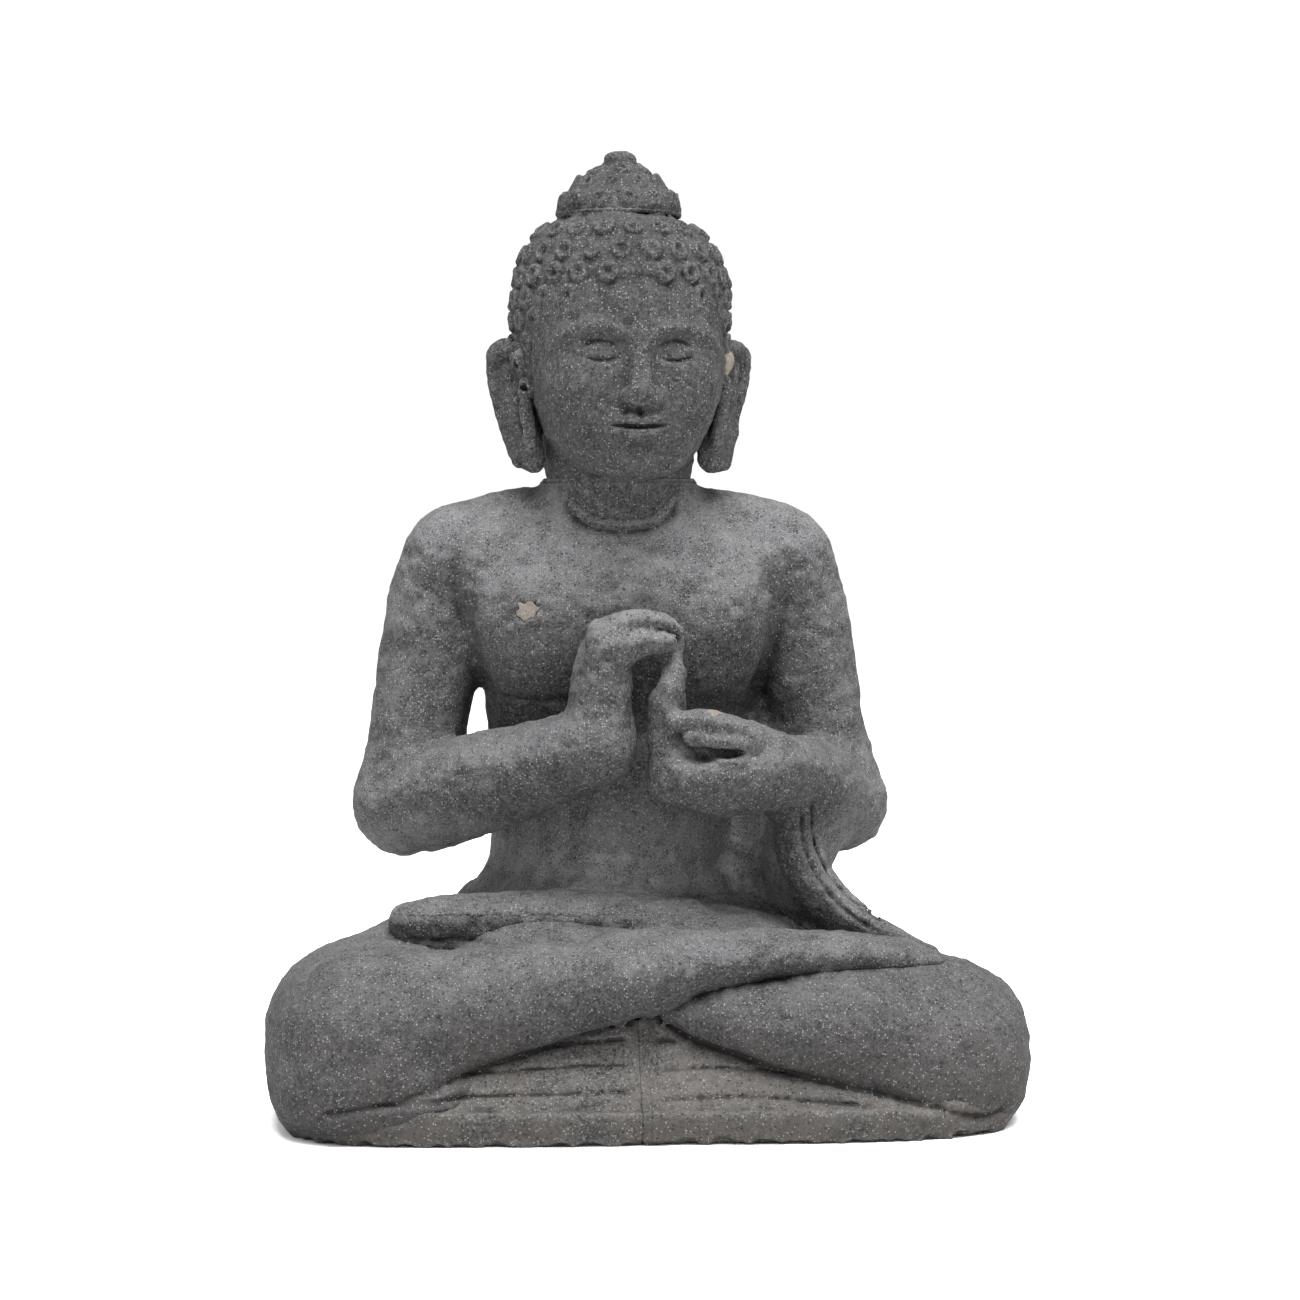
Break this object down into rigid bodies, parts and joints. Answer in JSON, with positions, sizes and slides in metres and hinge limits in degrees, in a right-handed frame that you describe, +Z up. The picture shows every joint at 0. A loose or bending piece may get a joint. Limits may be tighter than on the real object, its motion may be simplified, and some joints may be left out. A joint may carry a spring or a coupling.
{
  "type": "seated stone figure",
  "caption": "Seated robed figure in dark lava stone, teaching hand gesture, crossed legs, curled hair with topknot, on a flat base of pinned and mortared blocks.",
  "frame": {"origin": "on the ground, under the middle of the figure's overall width and depth", "axes": "+Z up, the figure faces -Y, its right hand is on the -X side"},
  "size_m": [0.628, 0.4, 0.8],
  "materials": {
    "stone": "chiselled dark grey andesite with pale specks, matt",
    "stone_base": "chiselled taupe grey andesite with dust in its grooves, matt",
    "mortar": "dark tinted mortar, matt",
    "ear_mortar": "tan mortar, matt",
    "patch": "tan filler let into a pit, matt",
    "steel": "plain drawn stainless steel bar"
  },
  "bodies": {
    "root": {"seat_slab_right": "stone_base", "seat_slab_left": "stone_base", "slab_joint_mortar": "mortar", "slab_cramps": "steel", "right_leg": "stone", "left_leg": "stone", "leg_dowels": "steel", "torso": "stone", "waist_joint_mortar": "mortar", "waist_dowels": "steel", "right_forearm": "stone", "left_forearm": "stone", "elbow_mortar": "mortar", "elbow_dowels": "steel", "robe_fall": "stone", "robe_pins": "steel", "head": "stone", "neck_joint_mortar": "mortar", "neck_dowel": "steel", "right_ear": "stone", "left_ear": "stone", "ear_mortar": "ear_mortar", "ear_pins": "steel", "topknot": "stone", "topknot_mortar": "mortar", "topknot_dowel": "steel", "chest_patch": "patch", "finger_patch": "patch"}
  },
  "joints": []
}
